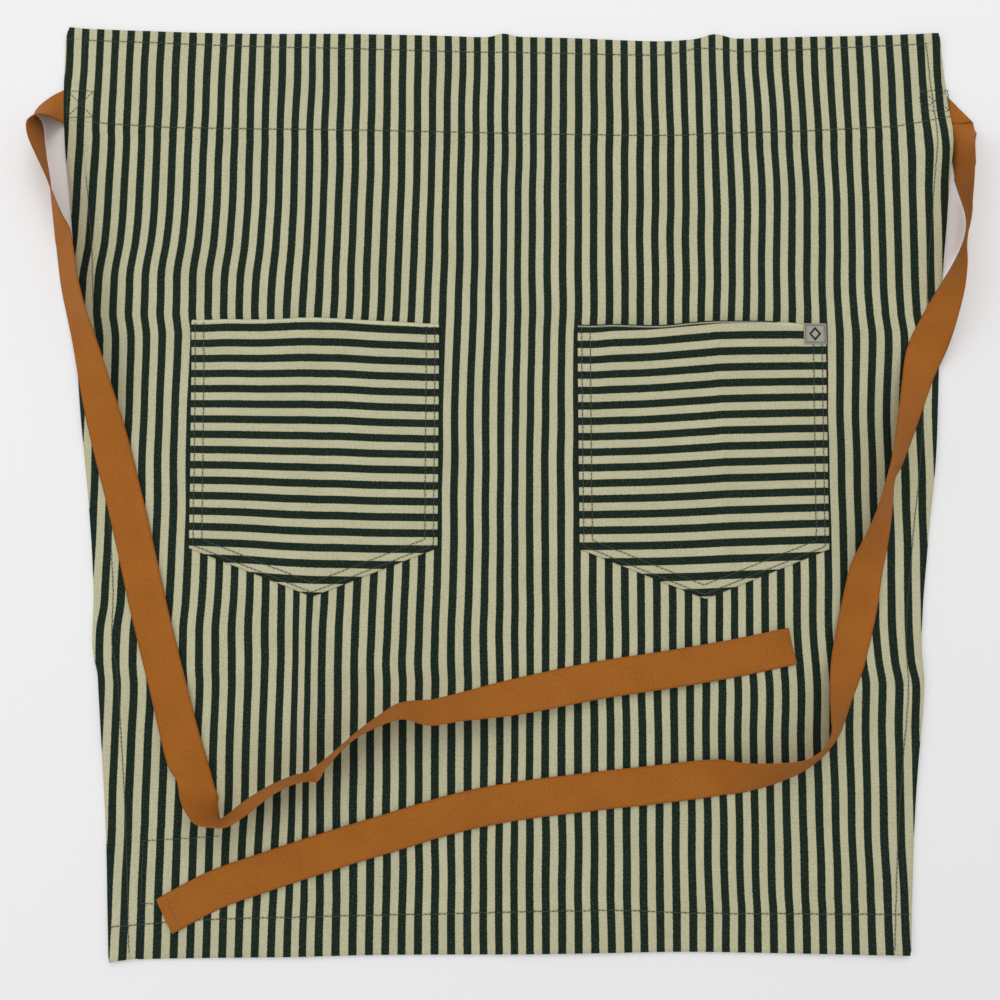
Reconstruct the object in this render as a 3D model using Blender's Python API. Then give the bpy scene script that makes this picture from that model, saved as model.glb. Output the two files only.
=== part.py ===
"""A striped waist apron lying face up: a tapered skirt panel with its hems and waist facing, two pointed patch
pockets, and two tape ties that leave the sides of the waist and lie across the skirt.
Millimetres below, metres in the file. +X is the wearer's left as seen from the front, +Y runs up to the waist,
+Z comes out of the front face, and the origin is under the middle of the skirt, on the surface it lies on."""

import math

import bmesh
import bpy
from mathutils import Vector

MM = 0.001

# Cloth, tape and thread
CLOTH = 0.8
GAP = 0.3
TAPE = 1.0
TAPE_WIDTH = 30.0
TAPE_STRIPS = 3
THREAD_WIDTH = 0.6
THREAD = 0.4

# Skirt outline: (y, x) down each side and (x, y) along the waist and the bottom
LEFT_SIDE = ((-376, -303), (-212, -317), (-17, -336), (148, -354), (272, -367), (376, -372))
RIGHT_SIDE = ((-376, 311), (-212, 325), (-46, 341), (172, 363), (299, 375), (376, 369))
WAIST = ((-372, 380), (-198, 376), (0, 373.5), (130, 370), (177, 375), (369, 377))
BOTTOM = ((-303, -378), (-97, -373), (311, -373))

# Layers behind the skirt
SIDE_HEM = 18.0
BOTTOM_HEM = 34.0
FACING = 88.0
LAYERS_APART = 1.5
RAMP = 7.0
PATCH_WIDTH = 62.0
PATCH_HEIGHT = 52.0
PATCH_CENTRE = (-251.0, -310.5)
PATCH_LIFT_ACROSS = 92.0
PATCH_LIFT_UP = 93.0
ROOT_LIFT_ACROSS = 34.0
ROOT_LIFT_TOP = 42.0
ROOT_LIFT_BOTTOM = 92.0

# Pockets
POCKET_HALF = 101.0
POCKET_SIDE = 187.0
POCKET_POINT = 40.0
POCKET_MARGIN = 14.0
POCKET_BULGE = 7.0
MOUTH_HEM = 22.0
MOUTH_STEP = 2.0
LEFT_POCKET_TOP = (-155.0, 126.0)
RIGHT_POCKET_TOP = (161.0, 123.0)
OUTER_STITCH = 3.0
INNER_STITCH = 10.0

# Label on the right pocket's outer corner
LABEL_SIZE = 18.0
LABEL = 0.6
LABEL_REST = 4.0
LABEL_STITCH = 1.8

# Stitch lines, measured in from the edge
WAIST_TOP_STITCH = 10.0
WAIST_LOWER_STITCH = 82.0
SIDE_STITCH = 15.0
BOTTOM_STITCH = 31.0
TIE_END_STITCH = 5.0
BOX_STITCHES = {"left": (-357.0, 312.0, 22.0, 23.0), "right": (360.5, 314.5, 23.0, 20.0)}

# Tape routes: x, y, turn about its own length in degrees, and the height of its lower edge.
# A positive turn lifts the edge on the left of someone who walks from the waist to the tie's end.
# (x, y, z) of the outer and the inner edge of the left root, from under the waist to the tie's hinge
LEFT_ROOT = (
    ((-342, 326, 1.6), (-342, 296, 1.6)), ((-366, 326, 1.6), (-366, 296, 1.6)),
    ((-376, 324, 1.5), (-371.5, 296, 2)), ((-383, 318.5, 1.4), (-374.5, 295, 12)),
    ((-387, 310, 1.3), (-378.5, 294, 21.5)), ((-388.8, 300.5, 1), (-383, 292.8, 28.3)),
    ((-387.7, 291.5, 0.7), (-386.5, 291.5, 30.4)),
)
LEFT_TIE = (
    (-387, 289, 88, 0.6), (-384, 275, 83, 0.6), (-379, 257, 75, 0.6), (-374, 240, 66, 0.6), (-370, 222, 57, 0.6),
    (-361, 191, 45, 0.6), (-355, 157, 43, 0.6), (-348, 131, 41, 1.5), (-340, 105, 33, 2.9), (-328, 57, 11, 2.9),
    (-319, 24, 0, 2.9), (-302, -36, 0, 2.9), (-280, -119, 0, 2.9), (-264, -175, 0, 2.9), (-250, -221, -14, 2.9),
    (-239, -247, -50, 2.9), (-228, -263, -75, 2.9), (-214, -270, -72, 2.9), (-200, -259, -66, 2.9),
    (-184, -248, -68, 2.9), (-169, -240, -72, 2.9), (-157, -237, -77, 2.9), (-145, -233, -72, 2.9),
    (-135, -225, -73, 2.9), (-121, -210, -76, 2.9), (-108, -200, -76, 2.9), (-95, -193, -74, 2.9),
    (-81, -189, -69, 2.9), (-63, -188, -62, 2.9), (-48, -187, -56, 2.9), (-32, -184, -47, 2.9),
    (-8, -180, -33, 2.9), (20, -175, -20, 2.9), (72, -165, -10, 2.9), (132, -156, -5, 2.9), (185, -147, 0, 2.9),
    (227, -138, 0, 2.9),
)
RIGHT_TAB_LOWER = ((345, 295), (374, 296), (394, 297))
RIGHT_TAB_UPPER = ((345, 325), (372, 321), (383, 310))
# (x, y, z) of the lower and the upper edge of the stretch between the right tab and the tie's hinge
RIGHT_DROP = (
    ((377.5, 302, 1.5), (389, 302, 1.7)), ((377.5, 288, 0.9), (391, 288, 12)),
    ((377.5, 268, 0.8), (384, 268, 26)), ((376, 249, 0.8), (379, 249, 30)),
)
RIGHT_TIE = (
    (377, 246, 84, 0.6), (378, 232, 94, 0.6), (379, 219, 104, 0.6), (379, 208, 107, 0.6), (377, 198, 107, 0.6),
    (374, 189, 105, 0.6), (370, 178, 98, 2.0), (366, 165, 84, 2.9), (359, 145, 62, 2.9), (351, 124, 42, 2.9),
    (344, 103, 14, 2.9), (336, 83, -14, 2.9), (327, 56, -32, 2.9), (318, 27, -46, 2.9), (312, 9, -54, 2.9),
    (307, -3, -60, 2.9), (303, -22, -53, 2.9), (299, -39, -45, 2.9), (293, -59, -31, 2.9), (287, -77, -16, 2.9),
    (282, -103, -5, 2.9), (276, -128, -5, 2.9), (269, -153, -14, 2.9), (262, -176, -36, 2.9),
    (258, -194, -51, 2.9), (255, -205, -60, 2.9), (248, -216, -66, 2.9), (239, -224, -66, 2.9),
    (228, -230, -62, 2.9), (214, -234, -53, 2.9), (199, -237, -43, 2.9), (183, -239, -31, 2.9),
    (168, -239, -16, 2.9), (152, -241, -5, 2.9), (119, -245, 0, 2.9), (73, -250, 0, 2.9), (9, -258, 0, 2.9),
    (-38, -267, 0, 2.9), (-97, -284, 0, 2.9), (-135, -295, 0, 2.9), (-191, -313, 0, 2.9), (-225, -325, 0, 2.9),
    (-262, -344, 0, 2.9),
)
LEFT_AXIS = (-387.0, 290.5, 31.0)
RIGHT_AXIS = (377.0, 247.5, 31.0)

# Colours, linear
CREAM = (0.55, 0.51, 0.33)
BOTTLE_GREEN = (0.013, 0.031, 0.027)
CARAMEL = (0.40, 0.12, 0.016)
THREAD_GREY = (0.09, 0.10, 0.07)
LABEL_GREY = (0.30, 0.29, 0.26)


def clear_scene():
    for obj in list(bpy.data.objects):
        bpy.data.objects.remove(obj, do_unlink=True)


def material(name, colour, roughness):
    made = bpy.data.materials.new(name)
    made.use_nodes = True
    shader = made.node_tree.nodes["Principled BSDF"]
    shader.inputs["Base Color"].default_value = (*colour, 1.0)
    shader.inputs["Roughness"].default_value = roughness
    shader.inputs["Metallic"].default_value = 0.0
    return made


def between(points, at):
    """The value at a position along a list of (position, value) pairs, read on straight lines between them."""
    if at <= points[0][0]:
        return points[0][1]
    for (a, first), (b, second) in zip(points, points[1:]):
        if at <= b:
            return first + (second - first) * (at - a) / (b - a)
    return points[-1][1]


def ramp(value, full):
    """1 up to full, then down to 0 over RAMP."""
    return min(1.0, max(0.0, 1.0 - (value - full) / RAMP))


def skirt_point(across, up):
    """The plan point of the skirt that lies across (0 at the left edge, 1 at the right) and up (0 at the bottom)."""
    height = between(BOTTOM, 0.0) * (1 - up) + between(WAIST, 0.0) * up
    x = between(LEFT_SIDE, height) * (1 - across) + between(RIGHT_SIDE, height) * across
    return x, between(BOTTOM, x) * (1 - up) + between(WAIST, x) * up


def skirt_lift(from_left, from_right, from_top, from_bottom):
    """How far the skirt's underside stands off the surface where layers lie under it."""
    side = min(from_left, from_right)
    hems = max(ramp(side, SIDE_HEM + 1), ramp(from_top, FACING + 2), ramp(from_bottom, BOTTOM_HEM + 2))
    patch = ramp(from_left, PATCH_LIFT_ACROSS) * ramp(from_bottom, PATCH_LIFT_UP)
    root = ramp(side, ROOT_LIFT_ACROSS) * ramp(from_top, ROOT_LIFT_BOTTOM - RAMP)
    root *= 1.0 - ramp(from_top, ROOT_LIFT_TOP)
    return (CLOTH + GAP) * max(hems, patch) + (TAPE + GAP) * root


def new_object(name, mesh_points, faces, finish, origin=None):
    """An object whose mesh is given in millimetres of the whole part, with its own origin where one is asked for."""
    base = Vector(origin or (0.0, 0.0, 0.0))
    mesh = bpy.data.meshes.new(name)
    mesh.from_pydata([(Vector(point) - base) * MM for point in mesh_points], [], faces)
    shape = bmesh.new()
    shape.from_mesh(mesh)
    bmesh.ops.recalc_face_normals(shape, faces=shape.faces)
    shape.to_mesh(mesh)
    shape.free()
    made = bpy.data.objects.new(name, mesh)
    made.location = base * MM
    made.data.materials.append(finish)
    bpy.context.scene.collection.objects.link(made)
    return made


def slab(name, rows, thickness, finish):
    """A sheet from rows of (x, y, underside height), as thick as asked, closed round its edge."""
    count = len(rows[0])
    under = [point for row in rows for point in row]
    points = under + [(x, y, z + thickness) for x, y, z in under]
    top = len(under)
    faces = []
    for j in range(len(rows) - 1):
        for i in range(count - 1):
            a = j * count + i
            square = (a, a + 1, a + 1 + count, a + count)
            faces.append(tuple(reversed(square)))
            faces.append(tuple(corner + top for corner in square))
    last = (len(rows) - 1) * count
    rim = list(range(count)) + [j * count + count - 1 for j in range(1, len(rows))]
    rim += [last + i for i in range(count - 2, -1, -1)] + [j * count for j in range(len(rows) - 2, 0, -1)]
    for a, b in zip(rim, rim[1:] + rim[:1]):
        faces.append((a, b, b + top, a + top))
    return new_object(name, points, faces, finish)


def smooth_route(route, steps):
    """Points on a Catmull-Rom curve through the route, steps of them from each route point to the next."""
    values = [Vector(point) for point in route]
    padded = [2 * values[0] - values[1], *values, 2 * values[-1] - values[-2]]
    curve = []
    for before, a, b, after in zip(padded, padded[1:], padded[2:], padded[3:]):
        for step in range(steps):
            t = step / steps
            curve.append(
                0.5 * (2 * a + (b - before) * t + (2 * before - 5 * a + 4 * b - after) * t * t
                       + (3 * a - before - 3 * b + after) * t ** 3)
            )
    return curve + [values[-1]]


def strip(name, sections, strips, finish, origin=None):
    """A flat strip through sections of (one edge, other edge, half its thickness as a vector). Its two broad sides
    are split along the same diagonals, so that they stay apart where the strip twists."""
    points = []
    for low, high, out in sections:
        for up in (-1, 1):
            points += [low.lerp(high, k / strips) + out * up for k in range(strips + 1)]
    wide = strips + 1
    ring = 2 * wide
    last = len(points) - ring
    faces = [tuple(range(wide)) + tuple(range(ring - 1, strips, -1))]
    faces.append(tuple(last + corner for corner in faces[0]))
    for i in range(0, last, ring):
        for side in (0, wide):
            for a in range(i + side, i + side + strips):
                faces += [(a, a + 1, a + 1 + ring), (a, a + 1 + ring, a + ring)]
        for a in (i, i + strips):
            faces.append((a, a + wide, a + wide + ring, a + ring))
    return new_object(name, points, faces, finish, origin)


def folded(name, edges, finish):
    """A stretch of tape given by pairs of points along its two edges."""
    pairs = [(Vector(low), Vector(high)) for low, high in edges]
    middles = [low.lerp(high, 0.5) for low, high in pairs]
    sections = []
    for i, (low, high) in enumerate(pairs):
        along = middles[min(i + 1, len(pairs) - 1)] - middles[max(i - 1, 0)]
        sections.append((low, high, along.cross(high - low).normalized() * (0.5 * TAPE)))
    return strip(name, sections, TAPE_STRIPS, finish)


def tape(name, stations, width, thickness, strips, finish, origin=None):
    """A flat strip swept along stations of (x, y, turn in degrees, height of its lower edge)."""
    sections = []
    for i, (x, y, turn, rest) in enumerate(stations):
        before = stations[max(i - 1, 0)]
        after = stations[min(i + 1, len(stations) - 1)]
        along = Vector((after[0] - before[0], after[1] - before[1], 0.0)).normalized()
        angle = math.radians(turn)
        side = Vector((-along.y, along.x, 0.0)) * math.cos(angle) + Vector((0.0, 0.0, math.sin(angle)))
        height = rest + 0.5 * width * abs(math.sin(angle)) + 0.5 * thickness * abs(math.cos(angle))
        middle = Vector((x, y, height))
        half = side * (0.5 * width)
        sections.append((middle - half, middle + half, along.cross(side) * (0.5 * thickness)))
    return strip(name, sections, strips, finish, origin)


def thread(name, path, finish, origin=None):
    """Sewing thread along a path of (x, y, height of the surface under it), GAP above that surface."""
    stations = [(x, y, 0.0, z + GAP) for x, y, z in path]
    return tape(name, stations, THREAD_WIDTH, THREAD, 1, finish, origin)


def union(name, pieces):
    """The first piece joined to all the others by Boolean modifiers, under a new name."""
    first, *others = pieces
    first.name = name
    for number, other in enumerate(others):
        join = first.modifiers.new(f"Join {number + 1}", "BOOLEAN")
        join.operation = "UNION"
        join.solver = "EXACT"
        join.object = other
        other.hide_render = True
        other.display_type = "WIRE"
    return first


def make_skirt(finish):
    """The panel, lifted where the hems, the facing, the tie roots and the reverse patch lie under it."""
    from_left = [0, SIDE_HEM + 1, SIDE_HEM + 1 + RAMP, ROOT_LIFT_ACROSS, ROOT_LIFT_ACROSS + RAMP]
    from_left += [PATCH_LIFT_ACROSS, PATCH_LIFT_ACROSS + RAMP]
    from_right = [ROOT_LIFT_ACROSS + RAMP, ROOT_LIFT_ACROSS, SIDE_HEM + 1 + RAMP, SIDE_HEM + 1, 0]
    from_top = [ROOT_LIFT_BOTTOM + RAMP + 2, ROOT_LIFT_BOTTOM, ROOT_LIFT_BOTTOM - RAMP]
    from_top += [ROOT_LIFT_TOP + RAMP, ROOT_LIFT_TOP, 0]
    from_bottom = [0, BOTTOM_HEM + 2, BOTTOM_HEM + 2 + RAMP, PATCH_LIFT_UP, PATCH_LIFT_UP + RAMP]
    columns, levels = 9, 9
    rows = []
    tall = between(WAIST, 0.0) - between(BOTTOM, 0.0)
    first, last = from_bottom[-1], tall - from_top[0]
    ups = from_bottom + [first + (last - first) * k / levels for k in range(1, levels)]
    ups += [tall - depth for depth in from_top]
    for up in ups:
        height = between(BOTTOM, 0.0) + up
        wide = between(RIGHT_SIDE, height) - between(LEFT_SIDE, height)
        start, end = from_left[-1], wide - from_right[0]
        acrosses = from_left + [start + (end - start) * k / columns for k in range(1, columns)]
        acrosses += [wide - depth for depth in from_right]
        row = []
        for across in acrosses:
            x, y = skirt_point(across / wide, up / tall)
            row.append((x, y, skirt_lift(across, wide - across, tall - up, up)))
        rows.append(row)
    return slab("skirt_panel", rows, CLOTH, finish)


def strip_rows(edge, inner, start, end, count):
    """Rows for a flat layer that runs along one skirt edge from start to end, edge to inner away from that edge."""
    tall = between(WAIST, 0.0) - between(BOTTOM, 0.0)
    rows = []
    for depth in (0.0, inner):
        row = []
        for k in range(count + 1):
            at = start + (end - start) * k / count
            if edge in ("left", "right"):
                height = between(BOTTOM, 0.0) + at
                wide = between(RIGHT_SIDE, height) - between(LEFT_SIDE, height)
                across = depth / wide if edge == "left" else 1 - depth / wide
                x, y = skirt_point(across, at / tall)
            else:
                up = depth / tall if edge == "bottom" else 1 - depth / tall
                height = between(BOTTOM, 0.0) + up * tall
                wide = between(RIGHT_SIDE, height) - between(LEFT_SIDE, height)
                inset = SIDE_HEM + LAYERS_APART
                x, y = skirt_point((inset + at * (wide - 2 * inset)) / wide, up)
            row.append((x, y, 0.0))
        rows.append(row)
    return rows


def make_layers(finish):
    tall = between(WAIST, 0.0) - between(BOTTOM, 0.0)
    slab("left_side_hem", strip_rows("left", SIDE_HEM, 0.0, tall, 12), CLOTH, finish)
    slab("right_side_hem", strip_rows("right", SIDE_HEM, 0.0, tall, 12), CLOTH, finish)
    slab("bottom_hem", strip_rows("bottom", BOTTOM_HEM, 0.0, 1.0, 10), CLOTH, finish)
    slab("waist_facing", strip_rows("top", FACING, 0.0, 1.0, 12), CLOTH, finish)
    x, y = PATCH_CENTRE
    patch = [
        [(x + 0.5 * a * PATCH_WIDTH, y + 0.5 * b * PATCH_HEIGHT, 0.0) for a in (-1, 1)] for b in (-1, 1)
    ]
    slab("reverse_patch", patch, CLOTH, finish)


def pocket_depth(x):
    """How far the pocket reaches below its mouth at x from its middle."""
    return POCKET_SIDE + POCKET_POINT * (1 - abs(x) / POCKET_HALF)


def pocket_bulge(x, depth):
    """How far the pocket stands off the skirt: nothing in the sewn margin, most at the middle of the mouth."""
    inner = POCKET_HALF - POCKET_MARGIN
    across = max(0.0, 1 - (x / inner) ** 2)
    down = max(0.0, 1 - (depth / (pocket_depth(x) - POCKET_MARGIN)) ** 2)
    return POCKET_BULGE * across * down


def pocket_columns():
    inner = POCKET_HALF - POCKET_MARGIN
    middle = [inner * k / 6 for k in range(-6, 7)]
    return [-POCKET_HALF, *middle, POCKET_HALF]


def make_pocket(side, top, finish):
    """The pocket with the turned-in hem of its mouth behind it."""
    base = CLOTH + GAP
    step = CLOTH + GAP
    rows = []
    bands = 7
    depths_of = {}
    for x in pocket_columns():
        start = MOUTH_HEM + 2 * MOUTH_STEP
        end = pocket_depth(x) - POCKET_MARGIN
        depths = [0.0, MOUTH_HEM + MOUTH_STEP, start]
        depths += [start + (end - start) * k / bands for k in range(1, bands + 1)]
        depths_of[x] = depths + [pocket_depth(x)]
    for index in range(bands + 4):
        row = []
        for x in pocket_columns():
            depth = depths_of[x][index]
            over_hem = step if index < 2 else 0.0
            row.append((top[0] + x, top[1] - depth, base + over_hem + pocket_bulge(x, depth)))
        rows.append(row)
    slab(f"{side}_pocket", rows, CLOTH, finish)
    hem = []
    for depth in (0.0, MOUTH_HEM):
        hem.append([(top[0] + x, top[1] - depth, base + pocket_bulge(x, depth)) for x in pocket_columns()])
    slab(f"{side}_pocket_mouth_hem", hem, CLOTH, finish)


def pocket_stitch(name, top, inset, finish):
    """Thread down one side of a pocket, round its point and up the other side."""
    side = POCKET_HALF - inset
    step = CLOTH + GAP
    surface = CLOTH + GAP + CLOTH
    corner = POCKET_SIDE - 0.6 * inset
    low = POCKET_SIDE + POCKET_POINT - 1.08 * inset
    start, end = MOUTH_HEM + MOUTH_STEP, MOUTH_HEM + 2 * MOUTH_STEP
    down = [(-side, 1.0, surface + step), (-side, start, surface + step), (-side, end, surface)]
    down.append((-side, corner, surface))
    path = down + [(0.0, low, surface)] + [(-x, depth, z) for x, depth, z in reversed(down)]
    thread(name, [(top[0] + x, top[1] - depth, z) for x, depth, z in path], finish)


def make_label(finish, thread_finish):
    x = RIGHT_POCKET_TOP[0] + POCKET_HALF - 0.5 * LABEL_SIZE
    y = RIGHT_POCKET_TOP[1] - 0.5 * LABEL_SIZE
    half = 0.5 * LABEL_SIZE
    slab("woven_label", [[(x + half * a, y + half * b, LABEL_REST) for a in (-1, 1)] for b in (-1, 1)], LABEL, finish)
    rectangle_stitch("label_stitch", x, y, LABEL_SIZE - 2 * LABEL_STITCH, LABEL_SIZE - 2 * LABEL_STITCH,
                     LABEL_REST + LABEL, thread_finish)


def rectangle_stitch(name, x, y, wide, high, surface, finish):
    """Thread round a rectangle, with its two ends just apart."""
    a, b = 0.5 * wide, 0.5 * high
    apart = 2 * THREAD_WIDTH
    path = [(-a + apart, b), (a, b), (a, -b), (-a, -b), (-a, b - apart)]
    thread(name, [(x + dx, y + dy, surface) for dx, dy in path], finish)


def box_stitch(side, finish):
    """The crossed box sewn through each tie's root: four sides and two diagonals, joined."""
    x, y, wide, high = BOX_STITCHES[side]
    surface = (CLOTH + GAP) + (TAPE + GAP) + CLOTH
    a, b = 0.5 * wide, 0.5 * high
    ends = [((-a, b), (a, b)), ((-a, -b), (a, -b)), ((-a, b), (-a, -b)), ((a, b), (a, -b))]
    ends += [((-a, b), (a, -b)), ((-a, -b), (a, b))]
    bars = []
    for number, (start, end) in enumerate(ends):
        reach = Vector(end) - Vector(start)
        spare = reach.normalized() * (0.5 * THREAD_WIDTH if number < 4 else -0.1)
        path = [Vector(start) - spare, Vector(end) + spare]
        bars.append(thread(f"{side}_box_bar_{number}", [(x + p.x, y + p.y, surface) for p in path], finish))
    union(f"{side}_tie_box_stitch", bars)


def edge_stitch(name, points, finish):
    """Thread along a line of (across in mm, up in mm) skirt positions, over one layer under the skirt."""
    surface = (CLOTH + GAP) + CLOTH
    tall = between(WAIST, 0.0) - between(BOTTOM, 0.0)
    path = []
    for across, up in points:
        height = between(BOTTOM, 0.0) + up
        wide = between(RIGHT_SIDE, height) - between(LEFT_SIDE, height)
        x, y = skirt_point((across if across >= 0 else wide + across) / wide, up / tall)
        path.append((x, y, surface))
    thread(name, path, finish)


def make_edge_stitches(finish):
    """The waist's two lines and the three hems' lines. A negative distance is measured from the right edge."""
    tall = between(WAIST, 0.0) - between(BOTTOM, 0.0)
    steps = 14
    spans = [k / steps for k in range(steps + 1)]

    def along(inset, start, end, up):
        height = between(BOTTOM, 0.0) + up
        wide = between(RIGHT_SIDE, height) - between(LEFT_SIDE, height)
        return [(inset + start + (wide - 2 * inset - start - end) * s, up) for s in spans]

    edge_stitch("waist_top_stitch", along(SIDE_STITCH + 2, 2.0, 2.0, tall - WAIST_TOP_STITCH), finish)
    root_room = ROOT_LIFT_ACROSS + RAMP - SIDE_STITCH
    edge_stitch("waist_lower_stitch", along(SIDE_STITCH, root_room, root_room, tall - WAIST_LOWER_STITCH), finish)
    edge_stitch("bottom_hem_stitch", along(SIDE_STITCH, 4.0, 4.0, BOTTOM_STITCH), finish)
    low, high = 3.0, tall - FACING - 4.0
    ups = [low + (high - low) * s for s in spans]
    edge_stitch("left_hem_stitch", [(SIDE_STITCH, up) for up in ups], finish)
    edge_stitch("right_hem_stitch", [(-SIDE_STITCH, up) for up in ups], finish)


def make_right_root(finish):
    """The right tie's sewn tab, folded at a slant outside the skirt, and the stretch below the fold, which rises
    onto its inner edge as it comes down beside the skirt."""
    rows = [[(x, y, CLOTH + GAP) for x, y in edge] for edge in (RIGHT_TAB_LOWER, RIGHT_TAB_UPPER)]
    tab = slab("right_tie_root", rows, TAPE, finish)
    drop = folded("right_tie_root_drop", RIGHT_DROP, finish)
    return union("right_tie_root", [tab, drop])


def end_stitch(side, route, axis, finish):
    """A line of thread across each tie near its end."""
    tip, before = Vector(route[-1][:2]), Vector(route[-2][:2])
    along = (tip - before).normalized()
    middle = tip - along * TIE_END_STITCH
    across = Vector((-along.y, along.x)) * (0.5 * TAPE_WIDTH - 2.0)
    surface = route[-1][3] + TAPE
    path = [(middle + across * k / 2) for k in (-2, -1, 0, 1, 2)]
    thread(f"{side}_tie_end_stitch", [(p.x, p.y, surface) for p in path], finish, axis)


def main():
    clear_scene()
    canvas = material("Striped canvas", CREAM, 0.85)
    pocket_cloth = material("Pocket canvas", BOTTLE_GREEN, 0.85)
    twill = material("Twill tape", CARAMEL, 0.8)
    sewing = material("Sewing thread", THREAD_GREY, 0.7)
    woven = material("Woven label", LABEL_GREY, 0.7)
    make_skirt(canvas)
    make_layers(canvas)
    for side, top in (("left", LEFT_POCKET_TOP), ("right", RIGHT_POCKET_TOP)):
        make_pocket(side, top, pocket_cloth)
        pocket_stitch(f"{side}_pocket_outer_stitch", top, OUTER_STITCH, sewing)
        pocket_stitch(f"{side}_pocket_inner_stitch", top, INNER_STITCH, sewing)
        box_stitch(side, sewing)
    make_label(woven, sewing)
    make_edge_stitches(sewing)
    rectangle_stitch("reverse_patch_stitch", *PATCH_CENTRE, PATCH_WIDTH - 6, PATCH_HEIGHT - 6,
                     (CLOTH + GAP) + CLOTH, sewing)
    folded("left_tie_root", LEFT_ROOT, twill)
    tape("left_tie", smooth_route(LEFT_TIE, 2), TAPE_WIDTH, TAPE, TAPE_STRIPS, twill, LEFT_AXIS)
    make_right_root(twill)
    tape("right_tie", smooth_route(RIGHT_TIE, 2), TAPE_WIDTH, TAPE, TAPE_STRIPS, twill, RIGHT_AXIS)
    end_stitch("left", LEFT_TIE, LEFT_AXIS, sewing)
    end_stitch("right", RIGHT_TIE, RIGHT_AXIS, sewing)


main()
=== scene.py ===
"""The looks of the striped waist apron: canvas skirt with turned hems, two pointed patch pockets, twill
tape ties, sewing thread and a small woven label, on a plain pale floor. Lengths are millimetres until a
mesh is made."""

import math

import bpy
import numpy as np
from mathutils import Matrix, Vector


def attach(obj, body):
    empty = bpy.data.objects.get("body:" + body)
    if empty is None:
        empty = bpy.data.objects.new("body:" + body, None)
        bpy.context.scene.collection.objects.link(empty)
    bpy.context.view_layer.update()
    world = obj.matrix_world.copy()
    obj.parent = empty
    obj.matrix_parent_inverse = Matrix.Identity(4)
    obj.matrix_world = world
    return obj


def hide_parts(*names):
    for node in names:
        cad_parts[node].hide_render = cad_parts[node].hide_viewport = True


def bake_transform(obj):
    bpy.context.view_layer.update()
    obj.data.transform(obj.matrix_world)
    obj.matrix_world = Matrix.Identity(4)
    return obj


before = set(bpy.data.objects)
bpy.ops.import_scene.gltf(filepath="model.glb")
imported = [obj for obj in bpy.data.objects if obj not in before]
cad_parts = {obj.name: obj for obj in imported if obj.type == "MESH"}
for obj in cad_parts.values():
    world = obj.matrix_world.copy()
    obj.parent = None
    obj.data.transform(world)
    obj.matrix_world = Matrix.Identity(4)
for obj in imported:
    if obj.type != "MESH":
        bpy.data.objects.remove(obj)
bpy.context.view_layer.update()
MM = 0.001

# ---------------------------------------------------------------- shape of the skirt
# (x, y) along the waist and the bottom, (y, x) down each side
WAIST = ((-375, 381.5), (-353, 379), (-328, 377.5), (-263, 375.5), (-198, 374.5), (-140, 374), (-60, 373),
         (-14, 371.5), (-2, 374.5), (12, 371.5), (60, 370), (132, 368), (162, 370), (178, 374), (196, 370),
         (250, 371.5), (316, 373.2), (374, 375))
TOP_SEAM = ((-375, 371), (-353, 369), (-140, 361.5), (131, 356), (168, 362), (201, 359), (316, 364),
            (375, 366))
LOWER_SEAM = ((-370, 298), (-323, 294.5), (-271, 291.5), (-138, 289.5), (130, 284.5), (176, 286.5),
              (322, 292.5), (376, 300))
BOTTOM_SEAM = ((-310, -353), (-230, -347), (-97, -344), (90, -340), (145, -342), (318, -343))
BOTTOM = ((-310, -380), (-297, -377.5), (-284, -376), (-229, -375), (-160, -374), (-97, -372.7), (-4, -372.3),
          (60, -371.5), (132, -370.4), (220, -371.5), (318, -373.5))
LEFT_SIDE = ((-384, -303), (-341, -306), (-277, -310), (-227, -314.5), (-195, -317.6), (-170, -320),
             (-157, -321.2), (-143, -325), (-130, -326.8), (-103, -327), (-70, -329.4), (-17, -335.2),
             (57, -345), (104, -350), (148, -354), (190, -357), (234, -362), (272, -367), (319, -370),
             (362, -370.5), (384, -366.5))
RIGHT_SIDE = ((-384, 310), (-323, 314.3), (-272, 318.7), (-226, 323.4), (-187, 328.3), (-164, 330.1),
              (-143, 329.4), (-112, 331.7), (-70, 336.9), (-46, 339.7), (13, 347.5), (90, 354), (130, 358),
              (172, 361), (215, 366), (253, 369.5), (299, 371.5), (324, 370.5), (371, 367), (384, 365.5))
SKIRT_LOW, SKIRT_HIGH = -374.5, 375.0
CLOTH = 0.8
SIDE_HEM, BOTTOM_HEM, FACING = 18.0, 34.0, 88.0
LEFT_SEAM_IN, RIGHT_SEAM_IN = 15.0, 12.0
HEM_LIFT = 1.1
# Height of the middle of a layer that lies on the floor
ON_FLOOR = CLOTH / 2 + 0.02
PATCH_MIDDLE, PATCH_SIZE = (-251.0, -310.5), (62.0, 52.0)
FADE = 7.0
REPEAT = 12.7
# STRIPES and DRIFT are tables that measuring scripts printed, from the photo alone and from the photo beside
# a render. That is against the rule that a script holds no table made by another program.
# Where some of the dark warp stripes run, as (x, stripe number), and the repeat outside the first and last
STRIPES = ((-342.8, 2), (-291.3, 6), (-239.4, 10), (-163.4, 16), (-86.2, 22), (-11.2, 28), (24.4, 31),
           (62.4, 34), (138.7, 40), (212.8, 46), (288.6, 52), (340.3, 56))
LEFT_REPEAT, RIGHT_REPEAT = 12.75, 12.9
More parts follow.
